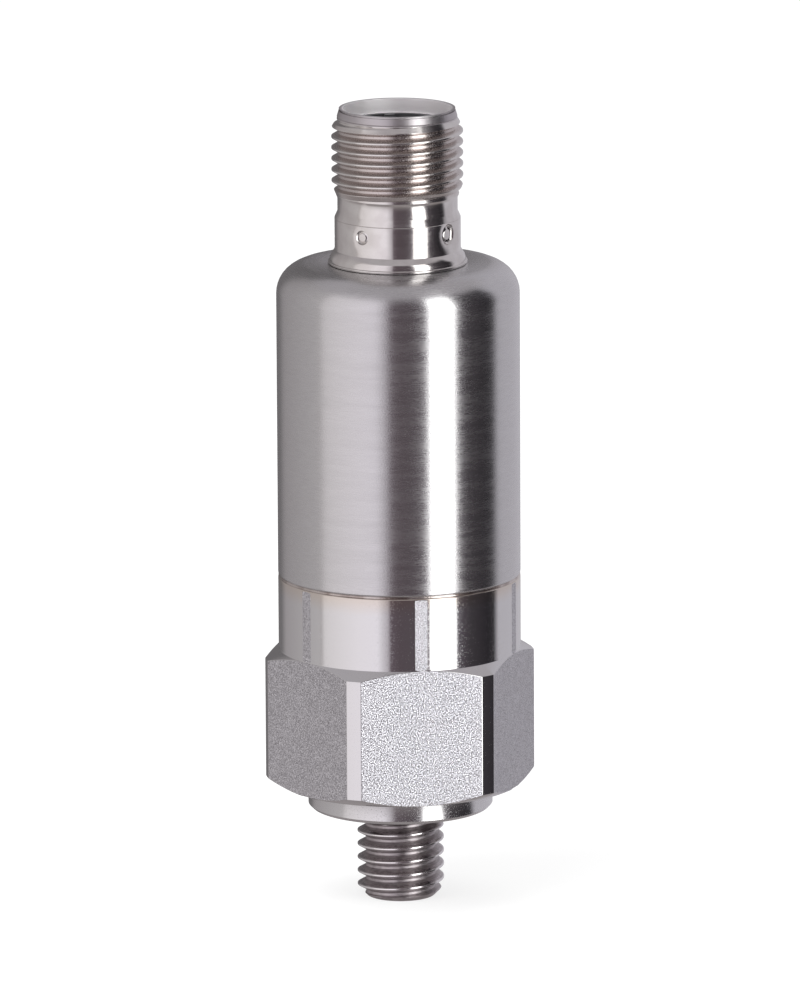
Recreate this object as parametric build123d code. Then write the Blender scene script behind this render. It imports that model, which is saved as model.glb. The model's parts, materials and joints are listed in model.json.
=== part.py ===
from build123d import *
import math
import os

# Vibration transmitter, screwed to a machine by its stud.
# The origin is the centre of the seating face that meets the machine, and +Z points to the plug.
# All sizes are in millimetres.

# Hexagonal base, turned from a hexagonal bar
corner_beyond_round = 1.315
hexagon_height = 12.4
corner_chamfer_angle = 30.0
round_above_flats = 0.015
base_round_height = 6.6
boss_diameter = 16.8
boss_height = 2.0
boss_edge_chamfer = 0.25
cavity_web = 2.0
spigot_height = 1.6
spigot_wall = 1.765
spigot_clearance = 0.05

# Mounting stud, with its free end below the seating face
stud_diameter = 7.9
stud_pitch = 1.25
stud_free_length = 8.4
stud_end_chamfer = 0.85
stud_neck_length = 1.1
stud_engaged_diameter = 7.2
stud_engaged_length = 8.0
stud_top_chamfer = 0.5
tapped_hole_spare = 1.0
tapped_hole_clearance = 0.02
tapped_hole_countersink = 0.5

# Housing, a drawn cup with its open end welded to the base
housing_wall = 1.0
housing_top_thickness = 1.2
shoulder_radius = 2.75
wiring_room = 4.2

# Weld seam in the groove between base and housing
seam_groove_depth = 0.16
seam_groove_half_width = 0.15
seam_recess = 0.05

# Connector shell: radial sizes, stepped inwards from the thread's crest
shell_thread_diameter = 11.9
shell_thread_pitch = 1.0
rim_below_crest = 0.55
neck_below_crest = 0.52
collar_below_crest = 0.25
foot_beyond_collar = 0.45
bead_beyond_foot = 0.15
rim_wall = 0.55
collar_wall = 0.7
shell_spigot_wall = 0.6
shell_spigot_clearance = 0.05
shell_edge_chamfer = 0.1

# Connector shell: heights of its stretches, upwards from the housing's top face
shell_bead_height = 0.38
shell_foot_height = 0.52
shell_flare_height = 0.55
shell_collar_height = 2.75
shell_step_height = 0.6
shell_neck_height = 1.2
shell_runout_height = 1.3
shell_thread_height = 5.1
shell_lead_height = 0.95
shell_rim_height = 0.9
shell_spigot_length = 1.9
plug_seat_depth = 1.35

# Concave flare above the shell's foot, as shares of its width and height
flare_points = ((0.35, 0.25), (0.85, 0.65))

# Stake marks that lock the contact carrier in the shell
stake_count = 4
stake_start_angle = 45.0
stake_above_flare = 1.65
stake_diameter = 1.3
stake_depth = 0.22
stake_button_diameter = 0.9
stake_button_height = 0.12
stake_nib_diameter = 0.8
stake_nib_reach = 0.3

# Contact carrier, a plastic cup with a coding rib
carrier_clearance = 0.04
carrier_shoulder = 0.21
cup_wall = 0.45
cup_depth = 8.0
cup_rib_width = 0.9
cup_rib_height = 0.55
flange_length = 4.0
flange_below_collar_edge = 0.1
stake_groove_play = 0.05
stake_groove_depth = 0.4
seal_section_diameter = 0.82
seal_groove_slack = 0.03
seal_groove_spare_width = 0.25
seal_land = 0.7

# Contact pins
pin_count = 4
pin_circle_diameter = 5.0
pin_diameter = 1.0
pin_tip_rounding = 0.4
pin_tail_diameter = 0.7
pin_below_cup_edge = 1.0
pin_tail_through = 0.6
pin_collar_diameter = 1.3
pin_collar_length = 0.8
pin_collar_depth = 1.0
board_hole_clearance = 0.08

# Insulating sleeve and board holder
sleeve_clearance = 0.1
sleeve_wall = 0.4
sleeve_past_shoulder_start = 0.25
holder_clearance = 0.1
holder_floor_thickness = 1.5
holder_opening_diameter = 10.5
holder_post_width = 3.4
holder_post_depth = 1.9
post_board_gap = 0.215
board_slot_clearance = 0.05
board_slot_depth = 0.9

# Main board, upright on the centre plane
main_board_thickness = 1.2
board_top_margin = 3.0
board_top_gap = 1.1

# Terminal board, across the top of the holder
terminal_board_seat = 0.785
terminal_board_thickness = 1.0

# Link header between main board and terminal board
link_pin_count = 4
link_pin_spacing = 2.0
link_pin_side = 0.5
link_body_margin = 0.95
link_body_depth = 2.4
link_body_height = 2.2
link_body_gap = 1.5
link_body_below_board = 0.9
link_foot_below_edge = 1.0
link_pin_through = 0.7
link_pin_clearance = 0.03

# Sensor board on the floor of the cavity
sensor_board_clearance = 0.25
sensor_board_thickness = 1.0
accelerometer_side = 5.0
accelerometer_height = 1.9
sensor_screw_gap = 1.75
sensor_screw_head_diameter = 2.9
sensor_screw_head_height = 1.1
sensor_screw_diameter = 1.6
sensor_screw_slot_width = 0.4
sensor_screw_slot_depth = 0.45
sensor_screw_length = 2.2
sensor_screw_clearance = 0.06

# Flat flexible lead from the sensor board up to the main board
flex_width = 4.0
flex_thickness = 0.16
flex_bend_radius = 1.6
flex_bend_below_holder = 1.5
flex_socket_gap = 1.6
flex_socket_side = 0.8
flex_socket_depth = 1.8
flex_socket_height = 1.8
flex_grip = 1.0
flex_socket_clearance = 0.02

# Board components: length along X, height along Z, and how far each stands off its board
processor_size = (7.0, 7.0, 1.0)
filter_size = (5.0, 4.0, 1.5)
crystal_size = (5.0, 3.2, 1.0)
tantalum_size = (3.2, 6.0, 2.5)
driver_size = (6.5, 4.4, 1.1)
regulator_size = (6.5, 3.5, 1.6)
choke_size = (5.0, 5.0, 3.0)
diode_size = (4.3, 3.6, 2.2)
ceramic_size = (0.8, 1.6, 0.8)
choke_edge_radius = 0.9
component_edge = 0.12

# Gaps between the board components
front_side_gap = 0.6
front_middle_gap = 3.0
front_row_gap = 1.2
processor_row_gap = 1.0
tantalum_below_edge = 1.0
back_middle_gap = 1.2
back_middle_x = -1.1
back_foot_gap = 0.8
back_row_gap = 1.0
ceramic_count = 4
ceramic_spacing = 1.6
ceramic_post_gap = 0.7

# ISO thread form as shares of the pitch
thread_depth_share = 0.6134
thread_crest_share = 0.125
thread_flank_angle = 30.0
thread_overcut_share = 0.25

# Radii from the axis outwards, from the main board's widest row to the hexagon's flats
board_face = main_board_thickness / 2
post_inner_x = processor_size[0] / 2 + front_side_gap + tantalum_size[0] + post_board_gap
main_board_half_width = post_inner_x + board_slot_depth - board_slot_clearance
terminal_board_radius = post_inner_x + terminal_board_seat
holder_radius = post_inner_x + holder_post_depth
sleeve_inner_radius = holder_radius + holder_clearance
sleeve_outer_radius = sleeve_inner_radius + sleeve_wall
housing_inner_radius = sleeve_outer_radius + sleeve_clearance
body_radius = housing_inner_radius + housing_wall
flat_radius = body_radius - round_above_flats
spigot_radius = housing_inner_radius - spigot_clearance
cavity_radius = spigot_radius - spigot_wall

# Radii of the connector
crest_radius = shell_thread_diameter / 2
rim_radius = crest_radius - rim_below_crest
neck_radius = crest_radius - neck_below_crest
collar_radius = crest_radius - collar_below_crest
foot_radius = collar_radius + foot_beyond_collar
plug_seat_radius = rim_radius - rim_wall
cup_bore_radius = plug_seat_radius - carrier_shoulder
cup_radius = cup_bore_radius - carrier_clearance
cup_inner_radius = cup_radius - cup_wall
flange_bore_radius = collar_radius - collar_wall
flange_radius = flange_bore_radius - carrier_clearance
shell_spigot_radius = flange_bore_radius + shell_spigot_wall
link_y = board_face + link_body_gap + link_body_depth / 2
sensor_screw_x = accelerometer_side / 2 + sensor_screw_gap + sensor_screw_head_diameter / 2

# Levels of the base
hexagon_top_z = boss_height + hexagon_height
seam_z = hexagon_top_z + base_round_height
spigot_top_z = seam_z + spigot_height
tapped_hole_z = stud_engaged_length + tapped_hole_spare
cavity_floor_z = tapped_hole_z + cavity_web
sensor_board_z = cavity_floor_z + sensor_board_thickness

# Levels of the boards: the main board is as high as the rows of components that it carries
holder_floor_z = spigot_top_z + holder_floor_thickness
front_row_z = holder_floor_z + flex_socket_height + front_row_gap
processor_z = front_row_z + filter_size[1] + processor_row_gap
main_board_top_z = processor_z + processor_size[1] + board_top_margin
terminal_board_z = main_board_top_z + board_top_gap
terminal_top_z = terminal_board_z + terminal_board_thickness
back_row_z = holder_floor_z + back_foot_gap + choke_size[1] + back_row_gap
ceramic_z = back_row_z + driver_size[1] + back_row_gap

# Levels of the connector
shell_low_z = terminal_top_z + wiring_room
housing_top_z = shell_low_z + shell_spigot_length
shell_foot_z = housing_top_z + shell_bead_height + shell_foot_height
shell_flare_z = shell_foot_z + shell_flare_height
shell_collar_z = shell_flare_z + shell_collar_height
shell_neck_z = shell_collar_z + shell_step_height
shell_runout_z = shell_neck_z + shell_neck_height
shell_thread_z = shell_runout_z + shell_runout_height
shell_lead_z = shell_thread_z + shell_thread_height
shell_rim_z = shell_lead_z + shell_lead_height
shell_top_z = shell_rim_z + shell_rim_height
cup_edge_z = shell_top_z - plug_seat_depth
cup_floor_z = cup_edge_z - cup_depth
pin_tip_z = cup_edge_z - pin_below_cup_edge
stake_z = shell_flare_z + stake_above_flare
flange_top_z = shell_collar_z - flange_below_collar_edge
flange_bottom_z = flange_top_z - flange_length
seal_groove_low_z = flange_bottom_z + seal_land
seal_groove_high_z = seal_groove_low_z + seal_section_diameter + seal_groove_spare_width


def turned(*outline):
    # A solid of revolution from its half outline, as (radius, height) points.
    points = [(radius, 0, height) for radius, height in outline]
    return revolve(make_face(Polyline(*points, close=True)), Axis.Z)


def block(centre_x, centre_y, low_z, length, depth, height):
    # A box by the centre of its footprint and its lowest level.
    return Pos(centre_x, centre_y, low_z + height / 2) * Box(length, depth, height)


def post(radius, low_z, high_z):
    # A plain cylinder on the axis between two levels.
    return Pos(0, 0, (low_z + high_z) / 2) * Cylinder(radius, high_z - low_z)


def around(shape, count, start):
    # Copies of a shape spread evenly round the axis.
    return [Rot(0, 0, start + 360 * turn / count) * shape for turn in range(count)]


def beside_sensor(shape):
    # A shape repeated at both screws of the sensor board.
    return [Pos(x, 0, 0) * shape for x in (-sensor_screw_x, sensor_screw_x)]


def top_rim(shape):
    # The highest round edge of a shape.
    return shape.edges().filter_by(GeomType.CIRCLE).sort_by(Axis.Z)[-1]


def thread_grooves(crest, pitch, low_z, high_z):
    # Ring grooves of the thread's true profile and pitch between two levels.
    depth = thread_depth_share * pitch
    slope = math.tan(math.radians(thread_flank_angle))
    open_half = pitch * (1 - thread_crest_share) / 2
    root_half = open_half - depth * slope
    overcut = pitch * thread_overcut_share
    ring = turned(
        (crest + overcut, -open_half - overcut * slope),
        (crest - depth, -root_half),
        (crest - depth, root_half),
        (crest + overcut, open_half + overcut * slope),
    )
    count = round((high_z - low_z) / pitch)
    first = (low_z + high_z) / 2 - pitch * (count - 1) / 2
    return [Pos(0, 0, first + pitch * turn) * ring for turn in range(count)]


def mounting_stud():
    # Threaded free end, relieved neck at the seating face, and the end held in the base.
    # Inside the base, stud and tapped hole are both plain at the thread's pitch radius.
    crest = stud_diameter / 2
    root = crest - thread_depth_share * stud_pitch
    engaged = stud_engaged_diameter / 2
    thread_low_z = -stud_free_length + stud_end_chamfer
    thread_high_z = -stud_neck_length - (crest - root)
    blank = turned(
        (0, -stud_free_length),
        (crest - stud_end_chamfer, -stud_free_length),
        (crest, thread_low_z),
        (crest, thread_high_z),
        (root, -stud_neck_length),
        (root, 0),
        (engaged, engaged - root),
        (engaged, stud_engaged_length - stud_top_chamfer),
        (engaged - stud_top_chamfer, stud_engaged_length),
        (0, stud_engaged_length),
    )
    return blank - thread_grooves(crest, stud_pitch, thread_low_z, thread_high_z)


def sensor_base():
    # One turned piece: boss, hexagon, round collar and welding spigot, with the cavity above.
    corner = body_radius + corner_beyond_round
    corner_drop = corner_beyond_round * math.tan(math.radians(corner_chamfer_angle))
    boss = boss_diameter / 2
    blank = turned(
        (0, 0),
        (boss - boss_edge_chamfer, 0),
        (boss, boss_edge_chamfer),
        (boss, boss_height),
        (body_radius, boss_height),
        (corner, boss_height + corner_drop),
        (corner, hexagon_top_z - corner_drop),
        (body_radius, hexagon_top_z),
        (body_radius, seam_z - seam_groove_half_width),
        (body_radius - seam_groove_depth, seam_z),
        (spigot_radius, seam_z),
        (spigot_radius, spigot_top_z),
        (cavity_radius, spigot_top_z),
        (cavity_radius, cavity_floor_z),
        (0, cavity_floor_z),
    )
    # The bar's flats also graze the round collar and leave a narrow strip on it.
    bar = extrude(RegularPolygon(flat_radius, 6, major_radius=False), spigot_top_z)
    hole = stud_engaged_diameter / 2 + tapped_hole_clearance
    mouth = stud_diameter / 2 + tapped_hole_countersink
    tapped_hole = turned(
        (0, 0),
        (mouth, 0),
        (hole, mouth - hole),
        (hole, stud_engaged_length),
        (0, tapped_hole_z),
    )
    screw_hole_z = cavity_floor_z - sensor_screw_length - sensor_screw_clearance
    screw_hole = post(sensor_screw_diameter / 2 + sensor_screw_clearance, screw_hole_z, cavity_floor_z)
    return (blank & bar) - tapped_hole - beside_sensor(screw_hole)


def weld_seam():
    # The bead that fills the groove between base and housing.
    deep = body_radius - seam_groove_depth
    outer = body_radius - seam_recess
    half = seam_groove_half_width * (outer - deep) / seam_groove_depth
    return turned((deep, seam_z), (outer, seam_z - half), (outer, seam_z + half))


def housing():
    # Cup with a rounded shoulder and a hole in its top for the connector shell.
    inside_top_z = housing_top_z - housing_top_thickness
    cup = post(body_radius, seam_z, housing_top_z)
    cup = fillet(top_rim(cup), shoulder_radius)
    inside = post(housing_inner_radius, seam_z, inside_top_z)
    inside = fillet(top_rim(inside), shoulder_radius - housing_wall)
    groove = turned(
        (body_radius - seam_groove_depth, seam_z),
        (body_radius + seam_groove_depth, seam_z),
        (body_radius + seam_groove_depth, seam_z + 2 * seam_groove_half_width),
    )
    hole = post(shell_spigot_radius + shell_spigot_clearance, inside_top_z, housing_top_z)
    return cup - inside - groove - hole


def stake_plane(radius):
    # A plane square to the X axis at a stake mark's level, facing outwards.
    return Plane(origin=(radius, 0, stake_z), x_dir=(0, 1, 0), z_dir=(1, 0, 0))


def stake_punch():
    # A round punch that leaves a ring and a lower button in the collar.
    ring = Circle(stake_diameter / 2) - Circle(stake_button_diameter / 2)
    punch = extrude(stake_plane(collar_radius) * ring, stake_depth, both=True)
    whole = stake_plane(collar_radius) * Circle(stake_diameter / 2)
    return punch + extrude(whole, stake_depth - stake_button_height, both=True)


def stake_nib():
    # The metal that the punch pushes into the carrier's groove.
    start = stake_plane(flange_bore_radius - stake_nib_reach)
    return extrude(start * Circle(stake_nib_diameter / 2), stake_nib_reach + stake_depth / 2)


def connector_shell():
    # Threaded metal shell: spigot, beaded foot, collar, neck, thread and rim.
    bead_edge = bead_beyond_foot
    flare = [
        (
            foot_radius - foot_beyond_collar * inward,
            shell_foot_z + shell_flare_height * upward,
        )
        for inward, upward in flare_points
    ]
    blank = turned(
        (0, shell_low_z),
        (shell_spigot_radius, shell_low_z),
        (shell_spigot_radius, housing_top_z),
        (foot_radius, housing_top_z),
        (foot_radius + bead_beyond_foot, housing_top_z + bead_edge),
        (foot_radius + bead_beyond_foot, housing_top_z + shell_bead_height - bead_edge),
        (foot_radius, housing_top_z + shell_bead_height),
        (foot_radius, shell_foot_z),
        *flare,
        (collar_radius, shell_flare_z),
        (collar_radius, shell_collar_z),
        (neck_radius, shell_neck_z),
        (neck_radius, shell_runout_z),
        (crest_radius, shell_thread_z),
        (crest_radius, shell_lead_z),
        (rim_radius, shell_rim_z),
        (rim_radius, shell_top_z - shell_edge_chamfer),
        (rim_radius - shell_edge_chamfer, shell_top_z),
        (0, shell_top_z),
    )
    grooves = thread_grooves(crest_radius, shell_thread_pitch, shell_thread_z, shell_lead_z)
    bore = turned(
        (0, shell_low_z),
        (flange_bore_radius, shell_low_z),
        (flange_bore_radius, flange_top_z),
        (cup_bore_radius, flange_top_z),
        (cup_bore_radius, cup_edge_z),
        (plug_seat_radius, cup_edge_z),
        (plug_seat_radius, shell_top_z - shell_edge_chamfer),
        (plug_seat_radius + shell_edge_chamfer, shell_top_z),
        (0, shell_top_z),
    )
    shell = blank - grooves - bore - around(stake_punch(), stake_count, stake_start_angle)
    return shell + around(stake_nib(), stake_count, stake_start_angle)


def contact_pins():
    # Round pins with rounded tips, an anchoring collar in the carrier and thinner tails.
    tail = pin_tail_diameter / 2
    anchor = pin_collar_diameter / 2
    anchor_top_z = cup_floor_z - pin_collar_depth
    anchor_low_z = anchor_top_z - pin_collar_length
    tail_low_z = terminal_board_z - pin_tail_through
    pin = turned(
        (0, tail_low_z),
        (tail, tail_low_z),
        (tail, anchor_low_z),
        (anchor, anchor_low_z),
        (anchor, anchor_top_z),
        (pin_diameter / 2, anchor_top_z),
        (pin_diameter / 2, pin_tip_z),
        (0, pin_tip_z),
    )
    pin = fillet(top_rim(pin), pin_tip_rounding)
    return around(Pos(pin_circle_diameter / 2, 0, 0) * pin, pin_count, stake_start_angle)


def contact_carrier():
    # Plastic cup round the pins, with a coding rib, a flange and grooves for seal and stakes.
    seal_root = flange_bore_radius - seal_section_diameter - seal_groove_slack
    stake_root = flange_radius - stake_groove_depth
    stake_low_z = stake_z - stake_nib_diameter / 2 - stake_groove_play
    stake_high_z = stake_z + stake_nib_diameter / 2 + stake_groove_play
    body = turned(
        (0, flange_bottom_z),
        (flange_radius, flange_bottom_z),
        (flange_radius, seal_groove_low_z),
        (seal_root, seal_groove_low_z),
        (seal_root, seal_groove_high_z),
        (flange_radius, seal_groove_high_z),
        (flange_radius, stake_low_z),
        (stake_root, stake_low_z),
        (stake_root, stake_high_z),
        (flange_radius, stake_high_z),
        (flange_radius, flange_top_z),
        (cup_radius, flange_top_z),
        (cup_radius, cup_edge_z),
        (cup_inner_radius, cup_edge_z),
        (cup_inner_radius, cup_floor_z),
        (0, cup_floor_z),
    )
    rib_depth = cup_rib_height + cup_wall / 2
    rib_y = cup_inner_radius - cup_rib_height + rib_depth / 2
    rib = block(0, rib_y, cup_floor_z, cup_rib_width, rib_depth, cup_depth)
    return body + rib - contact_pins()


def carrier_seal():
    # Rubber ring between carrier and shell.
    section = seal_section_diameter / 2
    ring = Torus(flange_bore_radius - section - seal_groove_slack / 2, section)
    return Pos(0, 0, (seal_groove_low_z + seal_groove_high_z) / 2) * ring


def insulating_sleeve():
    # Thin tube that keeps the boards off the housing wall.
    shoulder_start_z = housing_top_z - housing_top_thickness - (shoulder_radius - housing_wall)
    high_z = shoulder_start_z + sleeve_past_shoulder_start
    return post(sleeve_outer_radius, spigot_top_z, high_z) - post(sleeve_inner_radius, spigot_top_z, high_z)


def board_holder():
    # Ring that stands on the spigot, with two slotted posts that carry both boards.
    ring = post(holder_radius, spigot_top_z, holder_floor_z)
    ring -= post(holder_opening_diameter / 2, spigot_top_z, holder_floor_z)
    room = post(holder_radius, spigot_top_z, terminal_board_z)
    slot_width = main_board_thickness + 2 * board_slot_clearance
    height = terminal_board_z - holder_floor_z
    posts = []
    for side in (-1, 1):
        post_x = side * (post_inner_x + holder_post_depth / 2)
        slot_x = side * (post_inner_x + board_slot_depth / 2)
        column = block(post_x, 0, holder_floor_z, holder_post_depth, holder_post_width, height)
        slot = block(slot_x, 0, holder_floor_z, board_slot_depth, slot_width, height)
        posts.append((column & room) - slot)
    return ring + posts


def main_board():
    # Upright board in the holder's slots.
    height = main_board_top_z - holder_floor_z
    return block(0, 0, holder_floor_z, 2 * main_board_half_width, main_board_thickness, height)


def link_pin_places():
    # Where the link pins stand along X.
    return [link_pin_spacing * (turn - (link_pin_count - 1) / 2) for turn in range(link_pin_count)]


def link_pin_shape(x, growth):
    # Angled pin: foot on the main board's face, leg up through the terminal board.
    side = link_pin_side + 2 * growth
    foot_z = main_board_top_z - link_foot_below_edge - growth
    leg_top_z = terminal_top_z + link_pin_through
    leg = block(x, link_y, foot_z, side, side, leg_top_z - foot_z)
    reach = link_y - board_face + side / 2
    foot = block(x, board_face + reach / 2, foot_z, side, reach, side)
    return leg + foot


def link_pins():
    # The link pins, all alike.
    return [link_pin_shape(x, 0) for x in link_pin_places()]


def link_header():
    # Plastic strip that keeps the link pins in line, below the contact pins' tails.
    low_z = terminal_board_z - link_body_below_board - link_body_height
    length = link_pin_spacing * (link_pin_count - 1) + link_pin_side + 2 * link_body_margin
    strip = block(0, link_y, low_z, length, link_body_depth, link_body_height)
    return strip - [link_pin_shape(x, link_pin_clearance) for x in link_pin_places()]


def terminal_board():
    # Round board that joins the contact pins' tails to the link pins.
    board = post(terminal_board_radius, terminal_board_z, terminal_top_z)
    hole = post(pin_tail_diameter / 2 + board_hole_clearance, terminal_board_z, terminal_top_z)
    holes = around(Pos(pin_circle_diameter / 2, 0, 0) * hole, pin_count, stake_start_angle)
    side = link_pin_side + 2 * board_hole_clearance
    slot = block(0, link_y, terminal_board_z, side, side, terminal_board_thickness)
    return board - holes - [Pos(x, 0, 0) * slot for x in link_pin_places()]


def sensor_board():
    # Round board clamped flat on the cavity floor.
    board = post(cavity_radius - sensor_board_clearance, cavity_floor_z, sensor_board_z)
    hole = post(sensor_screw_diameter / 2 + sensor_screw_clearance, cavity_floor_z, sensor_board_z)
    return board - beside_sensor(hole)


def sensor_screws():
    # Two slotted screws that clamp the sensor board.
    head = sensor_screw_head_diameter / 2
    shank = sensor_screw_diameter / 2
    low_z = cavity_floor_z - sensor_screw_length
    top_z = sensor_board_z + sensor_screw_head_height
    screw = turned(
        (0, low_z),
        (shank, low_z),
        (shank, sensor_board_z),
        (head, sensor_board_z),
        (head, top_z),
        (0, top_z),
    )
    slot_z = top_z - sensor_screw_slot_depth
    slot = block(0, 0, slot_z, sensor_screw_slot_width, 2 * head, sensor_screw_slot_depth)
    return beside_sensor(screw - slot)


def accelerometer_chip():
    # Sealed accelerometer package at the centre of the sensor board.
    package = block(0, 0, sensor_board_z, accelerometer_side, accelerometer_side, accelerometer_height)
    return chamfer(package.faces().sort_by(Axis.Z)[-1].edges(), component_edge)


def lower_socket_y():
    # Centre of the flex socket on the sensor board, in front of the accelerometer.
    return -(accelerometer_side / 2 + flex_socket_gap + flex_socket_depth / 2)


def upper_socket_y():
    # Centre of the flex socket on the main board's front face.
    return -(board_face + flex_socket_depth / 2)


def flex_socket(centre_y, low_z, slot_low_z):
    # Socket with a slot for the flexible lead.
    length = flex_width + 2 * flex_socket_side
    body = block(0, centre_y, low_z, length, flex_socket_depth, flex_socket_height)
    slot_length = flex_width + 2 * flex_socket_clearance
    slot_depth = flex_thickness + 2 * flex_socket_clearance
    return body - block(0, centre_y, slot_low_z, slot_length, slot_depth, flex_grip)


def lower_flex_socket():
    # On the sensor board, open upwards.
    return flex_socket(lower_socket_y(), sensor_board_z, sensor_board_z + flex_socket_height - flex_grip)


def upper_flex_socket():
    # On the main board, open downwards.
    return flex_socket(upper_socket_y(), holder_floor_z, holder_floor_z)


def sensor_flex():
    # Flat lead from the lower socket, with one double bend, into the upper socket.
    low_z = sensor_board_z + flex_socket_height - flex_grip
    bend_high_z = spigot_top_z - flex_bend_below_holder
    bend_low_z = bend_high_z - (upper_socket_y() - lower_socket_y())
    route = FilletPolyline(
        (0, lower_socket_y(), low_z),
        (0, lower_socket_y(), bend_low_z),
        (0, upper_socket_y(), bend_high_z),
        (0, upper_socket_y(), holder_floor_z + flex_grip),
        radius=flex_bend_radius,
    )
    start = Plane(origin=route @ 0, x_dir=(1, 0, 0), z_dir=route % 0)
    return sweep(start * Rectangle(flex_width, flex_thickness), path=route)


def component(size, centre_x, low_z, side):
    # Component on the main board: side -1 is the front face, 1 the back face.
    length, height, stand = size
    centre_y = side * (board_face + stand / 2)
    return block(centre_x, centre_y, low_z, length, stand, height)


def chip(size, centre_x, low_z, side):
    # Moulded component with its outer edges broken.
    body = component(size, centre_x, low_z, side)
    outer = body.faces().sort_by(Axis.Y)[0 if side < 0 else -1]
    return chamfer(outer.edges(), component_edge)


def front_pieces():
    # Components on the front face: two beside the middle, then the processor between capacitors.
    filter_x = (front_middle_gap + filter_size[0]) / 2
    crystal_x = -(front_middle_gap + crystal_size[0]) / 2
    tantalum_x = processor_size[0] / 2 + front_side_gap + tantalum_size[0] / 2
    tantalum_z = main_board_top_z - tantalum_below_edge - tantalum_size[1]
    return {
        "filter_chip": chip(filter_size, filter_x, front_row_z, -1),
        "crystal": chip(crystal_size, crystal_x, front_row_z, -1),
        "processor_chip": chip(processor_size, 0, processor_z, -1),
        "tantalum_capacitor_1": chip(tantalum_size, tantalum_x, tantalum_z, -1),
        "tantalum_capacitor_2": chip(tantalum_size, -tantalum_x, tantalum_z, -1),
    }


def back_pieces():
    # Components on the back face: the power supply in two columns, small capacitors above.
    left_edge = back_middle_x - back_middle_gap / 2
    right_edge = back_middle_x + back_middle_gap / 2
    foot_z = holder_floor_z + back_foot_gap
    choke = component(choke_size, left_edge - choke_size[0] / 2, foot_z, 1)
    first_x = -post_inner_x + ceramic_post_gap + ceramic_size[0] / 2
    return {
        "choke_coil": fillet(choke.edges().filter_by(Axis.Y), choke_edge_radius),
        "voltage_regulator": chip(regulator_size, right_edge + regulator_size[0] / 2, foot_z, 1),
        "surge_diode": chip(diode_size, left_edge - diode_size[0] / 2, back_row_z, 1),
        "loop_driver_chip": chip(driver_size, right_edge + driver_size[0] / 2, back_row_z, 1),
        "ceramic_capacitors": [
            chip(ceramic_size, first_x + ceramic_spacing * place, ceramic_z, 1)
            for place in range(ceramic_count)
        ],
    }


def all_pieces():
    # Every piece by its name.
    pieces = {
        "mounting_stud": mounting_stud(),
        "sensor_base": sensor_base(),
        "weld_seam": weld_seam(),
        "housing": housing(),
        "connector_shell": connector_shell(),
        "contact_carrier": contact_carrier(),
        "carrier_seal": carrier_seal(),
        "insulating_sleeve": insulating_sleeve(),
        "board_holder": board_holder(),
        "main_board": main_board(),
        "terminal_board": terminal_board(),
        "link_header": link_header(),
        "link_pins": link_pins(),
        "sensor_board": sensor_board(),
        "sensor_screws": sensor_screws(),
        "accelerometer_chip": accelerometer_chip(),
        "lower_flex_socket": lower_flex_socket(),
        "upper_flex_socket": upper_flex_socket(),
        "sensor_flex": sensor_flex(),
    }
    for number, pin in enumerate(contact_pins(), start=1):
        pieces[f"contact_pin_{number}"] = pin
    pieces.update(front_pieces())
    pieces.update(back_pieces())
    return pieces


os.makedirs("parts", exist_ok=True)
for name, shape in all_pieces().items():
    solids = shape if isinstance(shape, list) else [shape]
    whole = Compound(children=solids) if len(solids) > 1 else solids[0]
    export_step(whole, f"parts/{name}.step")
    print(name, round(sum(solid.volume for solid in solids), 2))
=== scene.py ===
import json
import math

import bpy
from mathutils import Matrix, Vector


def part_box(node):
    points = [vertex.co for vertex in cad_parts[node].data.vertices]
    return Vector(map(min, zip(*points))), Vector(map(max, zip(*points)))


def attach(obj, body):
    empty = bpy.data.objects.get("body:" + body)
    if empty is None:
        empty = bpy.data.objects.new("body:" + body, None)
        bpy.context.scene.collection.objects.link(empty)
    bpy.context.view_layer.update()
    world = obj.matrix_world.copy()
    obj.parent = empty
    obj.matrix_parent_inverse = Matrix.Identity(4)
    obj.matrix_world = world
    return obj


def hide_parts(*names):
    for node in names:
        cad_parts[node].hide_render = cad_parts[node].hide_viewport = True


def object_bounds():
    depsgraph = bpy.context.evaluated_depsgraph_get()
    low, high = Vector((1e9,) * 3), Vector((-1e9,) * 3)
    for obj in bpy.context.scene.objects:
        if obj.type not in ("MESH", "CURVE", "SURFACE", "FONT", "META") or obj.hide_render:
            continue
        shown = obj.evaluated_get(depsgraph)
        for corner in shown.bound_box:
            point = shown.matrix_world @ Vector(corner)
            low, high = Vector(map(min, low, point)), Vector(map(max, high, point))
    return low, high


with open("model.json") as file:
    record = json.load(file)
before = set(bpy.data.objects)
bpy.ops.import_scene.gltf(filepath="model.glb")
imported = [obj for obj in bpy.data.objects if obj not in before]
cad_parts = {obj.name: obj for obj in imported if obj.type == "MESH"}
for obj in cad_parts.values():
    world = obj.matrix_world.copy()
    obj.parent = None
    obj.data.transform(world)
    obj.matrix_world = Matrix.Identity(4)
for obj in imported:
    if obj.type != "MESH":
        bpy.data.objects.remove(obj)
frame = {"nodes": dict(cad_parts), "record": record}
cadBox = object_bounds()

mm = 0.001
up = Vector((0, 0, 1))
roundSteps = 288  # faces round a large turned piece
near = 0.002  # millimetres within which two places count as the same


def cornersOf(node):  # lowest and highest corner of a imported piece, in millimetres
    low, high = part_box(node)
    return low / mm, high / mm


housingLow, housingHigh = cornersOf("housing")
shellLow, shellHigh = cornersOf("connector_shell")
studLow, studHigh = cornersOf("mounting_stud")
baseTop = cornersOf("sensor_base")[1].z
bodyRadius = housingHigh.x
topHeight = housingHigh.z
seamLift = 0.58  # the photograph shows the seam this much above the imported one
seamHeight = housingLow.z + seamLift

# The camera stands far off with a long lens, a little left of the front flat and a little above

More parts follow.
